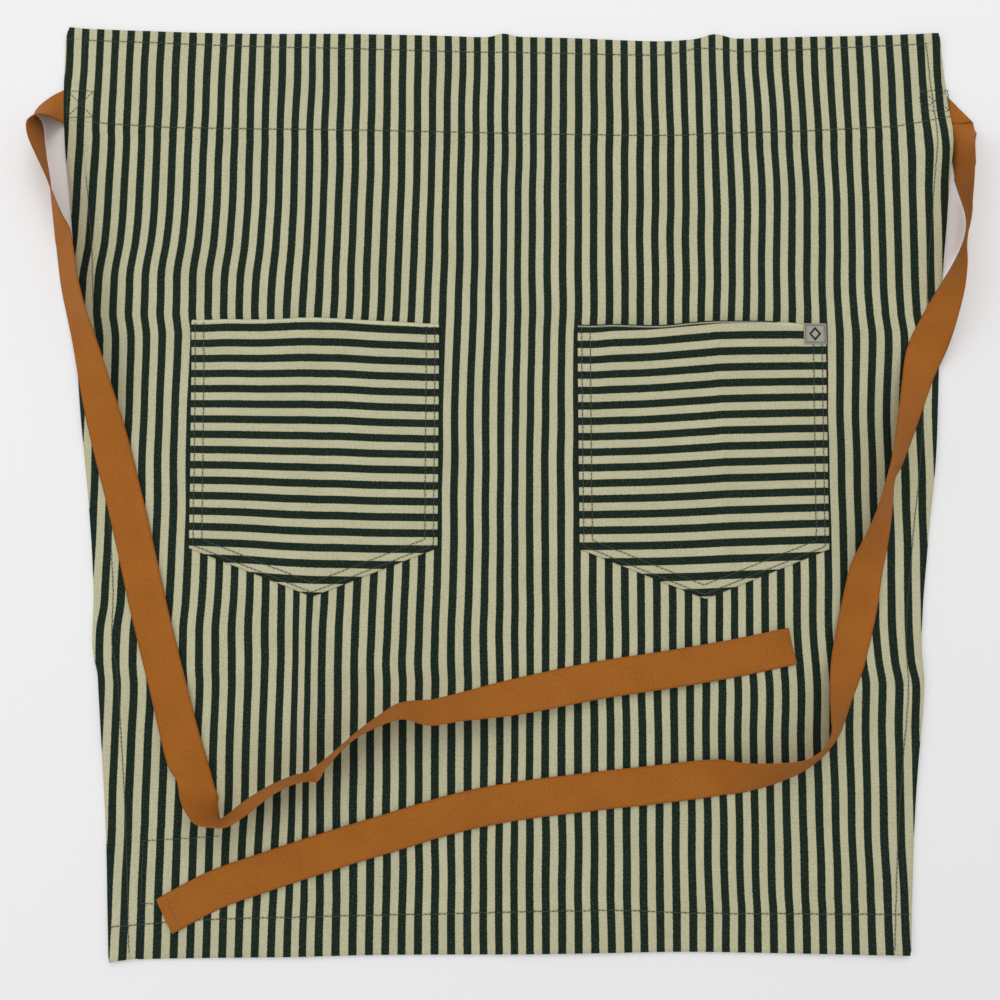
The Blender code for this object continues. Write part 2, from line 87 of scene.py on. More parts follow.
# How far all the stripes drift sideways, in millimetres: rows of (y, the drift at each x of DRIFT_X)
DRIFT_X = (-325, -262, -171, -145, -78, 15, 108, 225, 325)
DRIFT = (
    (343, (1.0, 1.5, 1.5, 0.0, 0.5, 0.0, 0.0, -1.5, -2.0)),
    (264, (0.0, 0.5, 0.5, 0.0, 0.0, -1.0, -0.5, 1.0, -1.0)),
    (229, (-0.5, 0.0, 0.5, -0.5, -0.5, -1.5, -1.0, 1.5, -1.0)),
    (195, (-1.5, -2.0, 0.0, -1.0, -1.5, -1.5, -2.0, 0.5, -1.5)),
    (161, (-5.5, -5.5, -2.5, -2.5, -2.0, -2.0, -1.5, -1.0, -2.5)),
    (135, (-5.5, -5.5, -3.0, -2.5, -3.0, -1.5, -2.5, -2.0, -2.0)),
    (114, (-2.5, -2.5, -2.5, -3.5, -4.0, -2.5, -3.0, -2.5, 0.0)),
    (44, (-1.5, -3.5, -2.5, -4.5, -5.0, -4.0, -3.5, -3.5, -4.0)),
    (-54, (-1.0, -1.5, -2.5, -5.0, -5.5, -4.5, -4.5, -4.5, -5.0)),
    (-102, (-2.0, -2.0, -2.5, -6.0, -6.5, -4.5, -5.0, -5.5, -6.0)),
    (-126, (-4.5, -3.5, -2.0, -7.0, -7.5, -5.0, -5.0, -6.0, -6.5)),
    (-149, (-3.5, -3.0, -1.5, -7.0, -8.5, -4.5, -5.5, -5.0, -6.5)),
    (-169, (-1.5, -1.5, -2.0, -7.5, -7.0, -4.5, -5.5, -4.0, -3.5)),
    (-211, (-1.5, -2.5, -2.0, -7.5, -7.0, -5.0, -5.5, -5.5, -5.5)),
    (-333, (-2.5, -2.5, -4.0, -5.5, -6.0, -5.5, -6.5, -6.0, -6.5)),
)
# Where the skirt's three seams across fall on its seam map
SEAM_MARKS = (0.0, 70.0, 700.0)
# On the seam map of a layer that has no sewing of its own
NO_SEAM = 99.0

# ---------------------------------------------------------------- pockets and label
# Each: mouth line (x, y), the two lower corners, the point, where its first dark stripe runs, as
# (x, y, repeat), the x of its crease, and how far its mouth stands off the skirt
POCKETS = {
    "left": {
        "mouth": ((-256.5, 125.5), (-210, 124.9), (-158, 126), (-110, 123.7), (-54.2, 121.8)),
        "low": ((-252.6, -60.5), (-54.3, -60.5)), "tip": (-153.8, -99.0),
        "stripe": ((-250, 119.3, 12.50), (-205, 119.3, 12.62), (-175, 119.9, 12.8), (-143, 119.9, 12.88),
                   (-102, 117.9, 12.8), (-62, 116.9, 12.75)),
        "fold": -164.0, "gape": 3.0,
    },
    "right": {
        "mouth": ((59.8, 121.4), (125, 120.4), (161, 123.1), (205, 123.6), (244, 121.8), (262.5, 121.4)),
        "low": ((60.2, -61.2), (259.2, -61.4)), "tip": (158.2, -100.8),
        "stripe": ((74, 105.9, 12.69), (112, 107.5, 12.78), (161, 111.1, 12.94), (190, 112.6, 12.96),
                   (227, 113.3, 12.92), (254, 113.9, 12.9)),
        "fold": 176.0, "gape": 3.6,
    },
}
POCKET_SEAMS = (3.0, 10.0)
POCKET_HALF, POCKET_TALL = 100.0, 190.0
MOUTH_HEM = 21.0
LABEL_SIZE, LABEL_HEIGHT = 18.4, 17.0
LABEL_CORNER = (244.3, 106.0)

# ---------------------------------------------------------------- tapes
TAPE, TAPE_WIDTH, SEEN_WIDTH = 1.0, 30.0, 28.6
# (x, y, z) of the two edges of each root, from under the waist to the tie. Several edge pairs here and in
# LEFT_TIE were picked in the photo and turned into millimetres by a script, then moved.
LEFT_ROOT = (
    ((-342, 326, 1.6), (-342, 296, 1.6)), ((-366, 326, 1.6), (-366, 296, 1.6)),
    ((-374, 323.5, 1.5), (-370, 296, 3)), ((-380.3, 320, 1.4), (-373, 295.5, 10)),
    ((-387, 315, 1.3), (-375, 294, 19)),
    ((-392.5, 309.5, 1.2), (-379, 292, 25.5)), ((-394.6, 304.2, 1), (-383.5, 289, 28.3)),
    ((-389.3, 298, 0.8), (-386.9, 284, 29.8)), ((-387, 290, 0.7), (-386.6, 277, 30.5)),
    ((-386, 281, 0.7), (-384, 268, 30.5)), ((-383, 263.5, 0.7), (-376.3, 252, 30.5)),
    ((-379.5, 246, 0.7), (-368.5, 236, 30.2)), ((-377.3, 229, 0.7), (-362.5, 220, 28.5)),
    ((-375, 213, 0.7), (-356.5, 206, 25.8)),
)
RIGHT_ROOT = (
    ((344, 325, 1.9), (344, 295, 1.9)), ((358, 325, 1.9), (360, 295, 1.9)),
    ((366, 324, 2.4), (380, 295, 2.6)), ((370, 321, 2.3), (391, 296.5, 2.6)),
    ((369.5, 316, 0.9), (393, 293.5, 1.6)), ((369, 302, 0.7), (393, 288, 3.4)),
    ((370.5, 289, 0.7), (389.8, 282, 12)), ((374, 268, 0.7), (381.5, 267, 26)),
    ((376, 250, 0.7), (379, 250, 30.5)),
)
# Either x, y, turn about the tape's own length in degrees and height of its lower edge, or two edge points
LEFT_TIE = (
    (-361, 191, 45, 0.6), (-355, 157, 43, 0.6), (-348, 131, 41, 1.5), (-340, 105, 33, 2.9),
    (-328, 57, 11, 2.9), (-319, 24, 0, 2.9), (-302, -36, 0, 2.9), (-280, -119, 0, 2.9),
    (-264, -175, 0, 2.9), (-250, -221, -10, 2.9),
    ((-255, -243, 6), (-227, -247.5, 3.2)), ((-242, -261.5, 24), (-225, -259, 3.4)),
    ((-233, -269.5, 28.5), (-223.5, -266.5, 3.5)), ((-219, -271.8, 32), (-222, -271, 3.5)),
    ((-209, -271.5, 31.5), (-219.5, -270.5, 3.5)), ((-200.5, -267, 31.2), (-213.5, -266, 3.5)),
    ((-192, -261, 31.3), (-203.5, -258, 3.5)), ((-176, -248.5, 32), (-185.5, -247, 3.5)),
    ((-159.5, -240, 32), (-167, -239, 3.5)), ((-148, -238, 32), (-155, -236, 3.5)),
    ((-141.5, -238, 30.8), (-149.5, -232.5, 3.5)), ((-135.5, -228.4, 31.8), (-141.5, -226.6, 3.5)),
    ((-123.6, -214.8, 32), (-127.4, -214.7, 3.5)), ((-111.6, -204.9, 32), (-116.4, -205.1, 3.5)),
    ((-96.5, -197.5, 32), (-101.5, -194, 3.5)), ((-82.5, -192.5, 30.5), (-86, -184, 3.5)),
    ((-73.5, -192.5, 29.5), (-76, -181.5, 3.5)), ((-65, -195.5, 27.5), (-66.5, -180.8, 3.5)),
    ((-54, -197, 26), (-56.5, -180, 3.5)),
    (-32, -184, -47, 2.9), (-8, -180, -33, 2.9), (20, -175, -20, 2.9), (72, -165, -10, 2.9),
    (132, -156, -5, 2.9), (185, -147, 0, 2.9), (227, -138, 0, 2.9),
)
RIGHT_TIE = (
    (377, 246, 84, 0.6), (378, 232, 94, 0.6), (379, 219, 104, 0.6), (379, 208, 107, 0.6),
    (377, 198, 107, 0.6), (374, 189, 105, 0.6), (370, 178, 98, 2.0), (366, 165, 84, 2.9),
    (359, 145, 62, 2.9), (351, 124, 42, 2.9), (344, 103, 14, 2.9), (336, 83, -14, 2.9),
    (327, 56, -32, 2.9), (318, 27, -46, 2.9), (312, 9, -54, 2.9), (307, -3, -60, 2.9),
    (303, -22, -53, 2.9), (299, -39, -45, 2.9), (293, -59, -31, 2.9), (287, -77, -16, 2.9),
    (282, -103, -5, 2.9), (276, -128, -5, 2.9), (269, -153, -14, 2.9), (262, -176, -36, 2.9),
    (258, -194, -51, 2.9), (255, -205, -60, 2.9), (248, -216, -66, 2.9), (239, -224, -66, 2.9),
    (228, -230, -62, 2.9), (214, -234, -53, 2.9), (199, -237, -43, 2.9), (183, -239, -31, 2.9),
    (168, -239, -16, 2.9), (152, -241, -5, 2.9), (119, -245, 0, 2.9), (73, -250, 0, 2.9),
    (9, -258, 0, 2.9), (-38, -267, 0, 2.9), (-97, -284, 0, 2.9), (-135, -295, 0, 2.9),
    (-191, -313, 0, 2.9), (-225, -325, 0, 2.9), (-262, -344, 0, 2.9),
)


# ---------------------------------------------------------------- numbers
def curve(knots, at):
    """A smooth line through (position, value) knots, read at an array of positions."""
    xs = np.array([k[0] for k in knots], float)
    ys = np.array([k[1] for k in knots], float)
    at = np.asarray(at, float)
    rises = np.diff(ys) / np.diff(xs)
    before, after = rises[:-1], rises[1:]
    same_way = before * after > 0
    steady = np.where(same_way, 2 * before * after / np.where(same_way, before + after, 1.0), 0.0)
    slopes = np.concatenate([[rises[0]], steady, [rises[-1]]])
    i = np.clip(np.searchsorted(xs, at) - 1, 0, len(xs) - 2)
    h = xs[i + 1] - xs[i]
    t = np.clip((at - xs[i]) / h, 0, 1)
    t2, t3 = t * t, t * t * t
    return ((2 * t3 - 3 * t2 + 1) * ys[i] + (t3 - 2 * t2 + t) * h * slopes[i]
            + (3 * t2 - 2 * t3) * ys[i + 1] + (t3 - t2) * h * slopes[i + 1])


def ramp(value, full, fade=FADE):
    """1 up to full, then smoothly down to 0 over fade."""
    t = np.clip(1.0 - (value - full) / fade, 0, 1)
    return t * t * (3 - 2 * t)


def ridge(value, width):
    """1 on the line where value is 0, falling off on both sides."""
    return np.exp(-((value / width) ** 2))


def crease(value, width):
    """A pressed-in fold line: a sharp edge on a soft, wide swell."""
    return 0.6 * np.exp(-np.abs(value) / width) + 0.4 * ridge(value, 3.5 * width)


def ripple(x, y, size, seed):
    """A gentle, repeatable unevenness between about -1 and 1."""
    rng = np.random.default_rng(seed)
    total = np.zeros_like(np.asarray(x, float))
    for _ in range(7):
        heading, phase = rng.uniform(0, math.tau, 2)
        length = size * rng.uniform(0.7, 1.6)
        total = total + np.sin((x * math.cos(heading) + y * math.sin(heading)) * math.tau / length + phase)
    return total / 3.2


def skirt_plan(a, b):
    """Plan point of the skirt at a (0 left, 1 right) and b (0 bottom, 1 waist)."""
    level = SKIRT_LOW + (SKIRT_HIGH - SKIRT_LOW) * b
    x = curve(LEFT_SIDE, level) * (1 - a) + curve(RIGHT_SIDE, level) * a
    y = curve(BOTTOM, x) * (1 - b) + curve(WAIST, x) * b
    return x, y


def insets(x, y):
    """Distances in from the left, the right, the waist and the bottom."""
    return x - curve(LEFT_SIDE, y), curve(RIGHT_SIDE, y) - x, curve(WAIST, x) - y, y - curve(BOTTOM, x)


def skirt_under(x, y):
    """Height of the skirt's underside."""
    left, right, top, bottom = insets(x, y)
    side = np.minimum(left, right)
    hems = np.maximum(np.maximum(ramp(side, SIDE_HEM), ramp(top, FACING)), ramp(bottom, BOTTOM_HEM))
    patch = ramp(left, 92) * ramp(bottom, 93)
    root = ramp(side, 34) * ramp(top, 86) * (1 - ramp(top, 42))
    lift = HEM_LIFT * np.maximum(hems, patch) + 1.3 * root
    # Long folds down the skirt near x = -160, 3 and 176, and cross folds near y = 128 and -156
    folds = 1.3 * crease(x + 160 - 0.02 * y, 3.5) * ramp(y, 150, 60) + 1.1 * crease(x - 3, 4)
    folds = folds + 1.1 * crease(x - 176, 4) + 1.2 * crease(y - 128 - 0.03 * x, 4.5)
    folds = folds + 1.2 * crease(y + 156 - 0.012 * x, 4.5)
    folds = folds + 1.5 * crease(x + 158 + 0.01 * y, 3) * ramp(y, -100, 20)
    waves = 0.75 * (1 + ripple(x, y, 260, 4)) + 0.35 * (1 + ripple(x, y, 95, 9))
    inner = 1 - 0.75 * ramp(np.minimum(side, np.minimum(top, bottom)), 0, 30)
    # More waves along the four edges
    edge = 1.6 * (1 + np.sin(y / 31.0 + 1.0)) * ramp(right, 0, 40)
    edge = edge + 0.9 * (1 + np.sin(y / 37.0)) * ramp(left, 0, 34)
    edge = edge + 0.9 * (1 + np.sin(x / 29.0)) * ramp(top, 0, 30)
    edge = edge + 0.8 * (1 + np.sin(x / 33.0)) * ramp(bottom, 0, 30)
    over_tape = 8.0 * ridge(y - 276, 24) * ramp(right, 0, 42)
    over_roots = 1 - 0.9 * np.clip(root, 0, 1)
    return lift + (folds * inner + waves * inner + 0.5 * edge) * over_roots + over_tape


def skirt_top(x, y):
    return skirt_under(x, y) + CLOTH


def stripe_number(x, y):
    """Number of the warp stripe at a point. It is whole in the middle of each dark stripe."""
    levels = np.array([row[0] for row in DRIFT][::-1], float)
    table = np.array([row[1] for row in DRIFT][::-1], float)
    column = np.clip(np.interp(x, DRIFT_X, np.arange(len(DRIFT_X))), 0, len(DRIFT_X) - 1)
    j = np.clip(column.astype(int), 0, len(DRIFT_X) - 2)
    part = column - j
    part = part * part * (3 - 2 * part)
    values = [curve(list(zip(levels, table[:, k])), y) for k in range(len(DRIFT_X))]
    values = np.stack(values, -1)
    drift = np.take_along_axis(values, j[..., None], -1)[..., 0] * (1 - part)
    drift = drift + np.take_along_axis(values, (j + 1)[..., None], -1)[..., 0] * part
    straight = x - drift - 0.35 * ripple(x, y, 60, 21)
    (first_x, first), (last_x, last) = STRIPES[0], STRIPES[-1]
    inside = curve(STRIPES, straight)
    inside = np.where(straight < first_x, first + (straight - first_x) / LEFT_REPEAT, inside)
    return np.where(straight > last_x, last + (straight - last_x) / RIGHT_REPEAT, inside)


# ---------------------------------------------------------------- meshes
def finish_mesh(name, points, faces, maps, material):
    mesh = bpy.data.meshes.new(name)
    mesh.from_pydata((np.asarray(points) * MM).tolist(), [], np.asarray(faces).tolist())
    corners = np.empty(len(mesh.loops), np.int32)
    mesh.loops.foreach_get("vertex_index", corners)
    for label, values in maps.items():
        layer = mesh.uv_layers.new(name=label)
        layer.data.foreach_set("uv", np.asarray(values, np.float32)[corners].ravel())
    mesh.polygons.foreach_set("use_smooth", [True] * len(mesh.polygons))
    mesh.materials.append(material)
    mesh.update()
    obj = bpy.data.objects.new(name, mesh)
    bpy.context.scene.collection.objects.link(obj)
    return obj


def sheet_mesh(name, middle, maps, thick, material):
    """A closed cloth sheet with round edges from a grid of points on its middle surface."""
    rows, cols = middle.shape[:2]
    down, across = np.gradient(middle, axis=0), np.gradient(middle, axis=1)
    normal = np.cross(across, down)
    normal /= np.linalg.norm(normal, axis=-1, keepdims=True) + 1e-12
    up, low = middle + normal * thick / 2, middle - normal * thick / 2
    grid = np.arange(rows * cols).reshape(rows, cols)
    quads = np.stack([grid[:-1, :-1], grid[1:, :-1], grid[1:, 1:], grid[:-1, 1:]], -1).reshape(-1, 4)
    count = rows * cols
    rim = np.concatenate([grid[0, :], grid[1:, -1], grid[-1, -2::-1], grid[-2:0:-1, 0]])
    flat = middle.reshape(-1, 3)
    outward = np.zeros((rows, cols, 3))
    outward[0] -= down[0]
    outward[-1] += down[-1]
    outward[:, 0] -= across[:, 0]
    outward[:, -1] += across[:, -1]
    outward = outward.reshape(-1, 3)[rim]
    outward /= np.linalg.norm(outward, axis=-1, keepdims=True) + 1e-12
    bulge = flat[rim] + outward * thick * 0.42
    points = np.concatenate([up.reshape(-1, 3), low.reshape(-1, 3), bulge])
    ring = 2 * count + np.arange(len(rim))
    after, ring_after = np.roll(rim, -1), np.roll(ring, -1)
    faces = np.concatenate([
        quads[:, ::-1], quads + count,
        np.stack([rim, after, ring_after, ring], -1)[:, ::-1],
        np.stack([ring, ring_after, after + count, rim + count], -1)[:, ::-1],
    ])
    full = {}
    for label, values in maps.items():
        values = values.reshape(-1, 2)
        full[label] = np.concatenate([values, values, values[rim]])
    return finish_mesh(name, points, faces, full, material)


def dashes(name, path, surface, material, pitch=3.5, gap=0.4, radius=0.3, seed=1, wander=0.16):
    """Sewing thread: one small arched stitch after another along a plan path, on the surface given."""
    rng = np.random.default_rng(seed)
    path = np.asarray(path, float)
    steps = np.linalg.norm(np.diff(path, axis=0), axis=1)
    far = np.concatenate([[0], np.cumsum(steps)])
    count = max(1, int(far[-1] / pitch))
    starts = (np.arange(count) + 0.5 * gap / pitch) * far[-1] / count
    length = far[-1] / count - gap
    rings, sides = 6, 6
    points, faces = [], []
    for start in starts:
        at = np.linspace(start, start + length, rings)
        x, y = np.interp(at, far, path[:, 0]), np.interp(at, far, path[:, 1])
        side = rng.normal(0, wander, 2)
        heading = np.array([x[-1] - x[0], y[-1] - y[0]])
        heading /= np.linalg.norm(heading) + 1e-9
        across = np.array([-heading[1], heading[0]])
        sway = np.linspace(side[0], side[1], rings)
        x, y = x + across[0] * sway, y + across[1] * sway
        t = np.linspace(0, 1, rings)
        arch = np.sin(math.pi * t)
        z = surface(x, y) + 0.02 + 0.26 * arch ** 0.6
        thick = radius * (0.55 + 0.45 * arch ** 0.5)
        base = len(points)
        for i in range(rings):
            for s in range(sides):
                turn = math.tau * s / sides
                shift, rise = math.cos(turn) * thick[i], math.sin(turn) * thick[i]
                points.append((x[i] + across[0] * shift, y[i] + across[1] * shift, z[i] + rise))
        for i in range(rings - 1):
            for s in range(sides):
                a, b = base + i * sides + s, base + i * sides + (s + 1) % sides
                faces.append((a, b, b + sides, a + sides))
        for first in (base, base + (rings - 1) * sides):
            cap = [first + s for s in range(sides)]
            if first == base:
                cap = cap[::-1]
            for k in range(1, sides - 2, 2):
                faces.append((cap[0], cap[k], cap[k + 1], cap[k + 2]))
    points = np.array(points)
    return finish_mesh(name, points, faces, {"weave": points[:, :2]}, material)


# ---------------------------------------------------------------- materials
class Nodes:
    """A short way to write a material's node tree."""

    def __init__(self, name, roughness, sheen=0.0, specular=0.25):
        self.material = bpy.data.materials.new(name)
        self.material.use_nodes = True
        self.tree = self.material.node_tree
        self.shader = self.tree.nodes["Principled BSDF"]
        self.shader.inputs["Roughness"].default_value = roughness
        self.shader.inputs["Sheen Weight"].default_value = sheen
        self.shader.inputs["Sheen Roughness"].default_value = 0.5
        self.shader.inputs["Specular IOR Level"].default_value = specular

    def put(self, socket, value):
        if isinstance(value, bpy.types.NodeSocket):
            self.tree.links.new(value, socket)
        else:
            socket.default_value = value

    def new(self, kind, settings=None, **inputs):
        node = self.tree.nodes.new(kind)
        for key, value in (settings or {}).items():
            setattr(node, key, value)
        for key, value in inputs.items():
            place = int(key[1:]) if key[0] == "i" and key[1:].isdigit() else key.replace("_", " ")
            self.put(node.inputs[place], value)
        return node

    def math(self, operation, a, b=0.0, c=0.0):
        return self.new("ShaderNodeMath", {"operation": operation}, i0=a, i1=b, i2=c).outputs[0]

    def between(self, value, low, high, to_low=0.0, to_high=1.0):
        node = self.new("ShaderNodeMapRange", {"interpolation_type": "SMOOTHSTEP"}, i0=value, i1=low, i2=high,
                        i3=to_low, i4=to_high)
        return node.outputs[0]

    def mix(self, share, a, b):
        node = self.new("ShaderNodeMix", {"data_type": "RGBA"})
        self.put(node.inputs[0], share)
        self.put(node.inputs[6], a)
        self.put(node.inputs[7], b)
        return node.outputs[2]

    def noise(self, vector, scale, detail=2.0, rough=0.5):
        return self.new("ShaderNodeTexNoise", None, Vector=vector, Scale=scale, Detail=detail,
                        Roughness=rough).outputs[0]

    def times(self, a, b):
        return self.math("MULTIPLY", a, b)

    def plus(self, a, b):
        return self.math("ADD", a, b)

    def line(self, value, at, inner, outer):
        """1 where value is within inner of at, down to 0 at outer from it."""
        off = self.math("ABSOLUTE", self.math("SUBTRACT", value, at))
        return self.between(off, inner, outer, 1.0, 0.0)

    def uv(self, label):
        """(vector, across value, along value) of a UV map."""
        source = self.new("ShaderNodeUVMap", {"uv_map": label}).outputs[0]
        parts = self.new("ShaderNodeSeparateXYZ", None, i0=source)
        return source, parts.outputs[0], parts.outputs[1]

    def bump(self, height, strength, distance):
        bump = self.new("ShaderNodeBump", None, Strength=strength, Distance=distance, Height=height)
        self.tree.links.new(bump.outputs[0], self.shader.inputs["Normal"])


CREAM, CREAM_WARM = (0.475, 0.468, 0.292, 1), (0.560, 0.532, 0.352, 1)
DARK, DARK_BLUE = (0.0044, 0.0138, 0.0056, 1), (0.0054, 0.0144, 0.0105, 1)


def canvas(name, seams, mouth=False):
    """Yarn-dyed stripe canvas. The weave map holds (stripe number, millimetres along the warp), and the seams
    map two distances in from the edges. seams lists (which of the two, distance) of each line of sewing. With
    mouth, the second distance is down from a pocket's mouth, where a painted highlight lightens the cloth
    along the rolled edge."""
    made = Nodes(name, 0.92, sheen=0.03, specular=0.16)
    _, number, along = made.uv("weave")
    across = made.times(number, REPEAT)
    place = made.new("ShaderNodeCombineXYZ", None, i0=across, i1=along).outputs[0]
    streaky = made.new("ShaderNodeCombineXYZ", None, i0=across, i1=made.times(along, 0.07)).outputs[0]
    weft_way = made.new("ShaderNodeCombineXYZ", None, i0=made.times(across, 0.1), i1=along).outputs[0]
    ragged = made.math("SUBTRACT", made.noise(weft_way, 1.1, 2.0, 0.7), 0.5)
    edge = made.plus(number, made.times(ragged, 0.10))
    wave = made.math("COSINE", made.times(edge, math.tau))
    dark = made.between(wave, -0.14, 0.14)
    # Cream: warm and cool streaks of yarn, and a few dark specks of trash in the cotton
    yarn = made.noise(streaky, 0.9, 3.0, 0.6)
    cloudy = made.noise(place, 0.02, 2.0)
    warmth = made.between(made.plus(yarn, made.times(cloudy, 0.6)), 0.55, 1.05)
    cream = made.mix(warmth, CREAM, CREAM_WARM)
    specks = made.new("ShaderNodeTexVoronoi", {"feature": "F1"}, Vector=place, Scale=0.16)
    small = made.between(specks.outputs["Distance"], 0.02, 0.065, 1.0, 0.0)
    chosen = made.between(specks.outputs["Color"], 0.60, 0.66)
    cream = made.mix(made.times(made.times(small, chosen), 0.55), cream, (0.16, 0.11, 0.06, 1))
    slub = made.between(made.noise(weft_way, 0.8, 2.0, 0.7), 0.5, 0.75)
    cream = made.mix(made.times(slub, 0.30), cream, (0.36, 0.345, 0.2, 1))
    grain = made.noise(place, 0.75, 2.0, 0.8)
    cream = made.mix(made.times(made.between(grain, 0.50, 0.66), 0.34), cream, (0.34, 0.33, 0.2, 1))
    cream = made.mix(made.times(made.between(grain, 0.50, 0.34), 0.50), cream, (0.68, 0.66, 0.46, 1))
    # Dark: two dye lots, with pale weft showing between the warp yarns
    deep = made.mix(made.between(made.noise(streaky, 0.35, 2.0), 0.42, 0.62), DARK, DARK_BLUE)
    weft = made.between(made.noise(place, 0.85, 2.0, 0.8), 0.50, 0.72)
    deep = made.mix(made.times(weft, 0.46), deep, (0.12, 0.15, 0.115, 1))
    colour = made.mix(dark, cream, deep)
    warp = made.math("SINE", made.times(across, math.tau / 0.9))
    weft_wave = made.math("SINE", made.times(along, math.tau / 1.05))
    height = made.plus(made.times(made.times(warp, weft_wave), 0.10), made.times(yarn, 0.25))
    height = made.plus(height, made.times(made.noise(place, 0.11, 3.0, 0.6), 0.8))
    # Needle lines press the cloth in (a bump), and painted shade darkens the colour a little along them
    _, *distances = made.uv("seams")
    lines = [made.line(distances[which], distance, 0.25, 1.1) for which, distance in seams]
    if lines:
        groove = lines[0]
        for line in lines[1:]:
            groove = made.math("MAXIMUM", groove, line)
        colour = made.mix(made.times(groove, 0.16), colour, (0.07, 0.07, 0.045, 1))
        height = made.math("SUBTRACT", height, made.times(groove, 0.7))
    if mouth:
        # Painted highlight: the cloth just below a pocket's mouth is mixed towards pale cream
        mouth_painted_highlight = made.between(distances[1], 0.2, 1.6, 0.55, 0.0)
        colour = made.mix(mouth_painted_highlight, colour, (0.72, 0.70, 0.52, 1))
    made.put(made.shader.inputs["Base Color"], colour)
    made.bump(height, 0.55, 0.0006)
    return made.material


def twill(name):
    """Cotton twill tape: steep diagonal ribs, firm selvedges, and yarns of slightly different shades."""
    made = Nodes(name, 0.85, sheen=0.04, specular=0.12)
    place, across, along = made.uv("weave")
    diagonal = made.plus(across, made.times(along, 0.62))
    ribs = made.math("SINE", made.times(diagonal, math.tau / 1.25))
    fine = made.noise(place, 0.9, 3.0, 0.8)
    cloudy = made.noise(place, 0.035, 3.0)
    tone = made.plus(made.times(fine, 1.1), made.times(cloudy, 0.22))
    tone = made.plus(tone, made.times(ribs, 0.06))
    colour = made.mix(made.between(tone, 0.38, 0.80), (0.250, 0.072, 0.010, 1), (0.425, 0.146, 0.019, 1))
    fluff = made.between(made.noise(place, 0.9, 2.0, 0.8), 0.69, 0.76)
    colour = made.mix(made.times(fluff, 0.22), colour, (0.52, 0.22, 0.045, 1))
    edge = made.math("SUBTRACT", TAPE_WIDTH / 2, made.math("ABSOLUTE", across))
    selvedge = made.between(edge, 0.4, 1.6, 1.0, 0.0)
    colour = made.mix(made.times(selvedge, 0.30), colour, (0.20, 0.055, 0.010, 1))
    made.put(made.shader.inputs["Base Color"], colour)
    height = made.plus(made.times(ribs, 0.35), made.times(fine, 0.5))
    height = made.plus(height, made.times(selvedge, 0.6))
    made.bump(height, 0.5, 0.0005)
    return made.material


def sewing(name, colour):
    """Twisted thread, darker in the grooves of its twist: painted shade."""
    made = Nodes(name, 0.55, sheen=0.1, specular=0.4)
    _, across, along = made.uv("weave")
    twist = made.math("SINE", made.times(made.plus(across, along), math.tau / 0.7))
    shade = tuple(c * 0.55 for c in colour[:3]) + (1,)
    made.put(made.shader.inputs["Base Color"], made.mix(made.between(twist, -1.0, 1.0), shade, colour))
    made.bump(twist, 0.4, 0.0002)
    return made.material


def woven_label(name):
    """Grey satin-woven label with a double woven border and a plain lozenge."""
    made = Nodes(name, 0.6, sheen=0.15, specular=0.35)
    place, across, along = made.uv("weave")
    sideways, upward = made.math("ABSOLUTE", across), made.math("ABSOLUTE", along)
    far = made.math("MAXIMUM", sideways, upward)
    pick = made.noise(place, 2.2, 2.0, 0.7)
    grey = made.mix(pick, (0.25, 0.245, 0.19, 1), (0.50, 0.485, 0.40, 1))
    outer, inner = made.line(far, 8.3, 0.15, 0.45), made.line(far, 7.0, 0.12, 0.4)
    border = made.math("MAXIMUM", outer, made.times(inner, 0.8))
    colour = made.mix(made.times(border, 0.5), grey, (0.055, 0.06, 0.06, 1))
    lozenge = made.line(made.plus(sideways, made.times(upward, 0.8)), 4.0, 0.9, 1.3)
    colour = made.mix(lozenge, colour, (0.006, 0.007, 0.006, 1))
    made.put(made.shader.inputs["Base Color"], colour)
    threads = made.math("SINE", made.times(along, math.tau / 0.45))
    made.bump(made.plus(made.times(threads, 0.4), made.times(pick, 0.4)), 0.4, 0.0003)
    return made.material


SKIRT_SEAMS = ((0, 0.0),) + tuple((1, mark) for mark in SEAM_MARKS)
SKIRT_CANVAS = canvas("Skirt canvas", SKIRT_SEAMS)
PLAIN_CANVAS = canvas("Hem canvas", ())
POCKET_CANVAS = canvas("Pocket canvas", tuple((0, inset) for inset in POCKET_SEAMS), mouth=True)
TWILL = twill("Caramel twill")
THREAD = sewing("Grey-green thread", (0.075, 0.085, 0.058, 1))
TAPE_THREAD = sewing("Caramel thread", (0.50, 0.22, 0.06, 1))
LABEL = woven_label("Woven label")


# ---------------------------------------------------------------- skirt and its hems
def weave_map(x, y):
    return np.stack([stripe_number(x, y), y], -1)


def seam_map(x, y):
    """Millimetres in from the side sewing, and millimetres down the skirt, counted so that its three lines
    across are at SEAM_MARKS."""
    left, right, _, _ = insets(x, y)
    side = np.minimum(left - LEFT_SEAM_IN, right - RIGHT_SEAM_IN)
    lines = [curve(seam, x) for seam in (TOP_SEAM, LOWER_SEAM, BOTTOM_SEAM)]
    upper = (lines[0] - y) / (lines[0] - lines[1])
    lower = (lines[1] - y) / (lines[1] - lines[2])
    _, waist_mark, hem_mark = SEAM_MARKS
    down = np.where(upper < 1, waist_mark * upper, waist_mark + (hem_mark - waist_mark) * lower)
    return np.stack([side, down], -1)


def plain_map(x):
    """A seam map with no seam near."""
    return np.full(x.shape + (2,), NO_SEAM)


def on_apron(obj, node):
    """Hides the CAD part of the node this piece stands for and hangs the piece under the apron body."""
    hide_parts(node)
    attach(obj, "apron")
    return obj


def make_skirt():
    a, b = np.meshgrid(np.linspace(0, 1, 222), np.linspace(1, 0, 222))
    x, y = skirt_plan(a, b)
    middle = np.stack([x, y, skirt_under(x, y) + CLOTH / 2], -1)
    maps = {"weave": weave_map(x, y), "seams": seam_map(x, y)}
    return on_apron(sheet_mesh("skirt", middle, maps, CLOTH, SKIRT_CANVAS), "skirt_panel")


